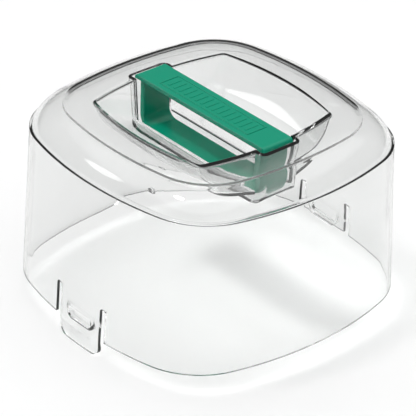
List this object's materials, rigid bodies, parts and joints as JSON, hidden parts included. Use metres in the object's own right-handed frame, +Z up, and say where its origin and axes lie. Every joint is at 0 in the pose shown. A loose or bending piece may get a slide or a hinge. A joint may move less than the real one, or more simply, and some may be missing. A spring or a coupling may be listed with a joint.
{
  "type": "food cover hood",
  "caption": "Clear rounded-square cover hood with a green carry handle let into a finger well in its top and two sprung tongues at its rim.",
  "frame": {"origin": "middle of the footprint, at the height of the front tongue's tip; the hood's rim is 13 mm higher", "axes": "+X along the handle bar, -Y towards the long front tongue, +Z up"},
  "size_m": [0.21, 0.211, 0.1358],
  "materials": {
    "clear_plastic": "polished clear injection-moulded plastic",
    "green_plastic": "satin moulded plastic"
  },
  "bodies": {
    "hood": {"hood": "clear_plastic", "carry_handle": "green_plastic"},
    "front_tongue": {"front_tongue": "clear_plastic"},
    "rear_tongue": {"rear_tongue": "clear_plastic"}
  },
  "joints": [
    {"name": "front_tongue_flex", "type": "hinge", "parent": "hood", "child": "front_tongue", "pos_m": [0, -0.10337, 0.0356], "axis": [-1, 0, 0], "range_deg": [0, 8], "stiffness_Nm_per_rad": 7.6},
    {"name": "rear_tongue_flex", "type": "hinge", "parent": "hood", "child": "rear_tongue", "pos_m": [0, 0.10337, 0.0356], "axis": [1, 0, 0], "range_deg": [0, 6], "stiffness_Nm_per_rad": 12.2}
  ]
}
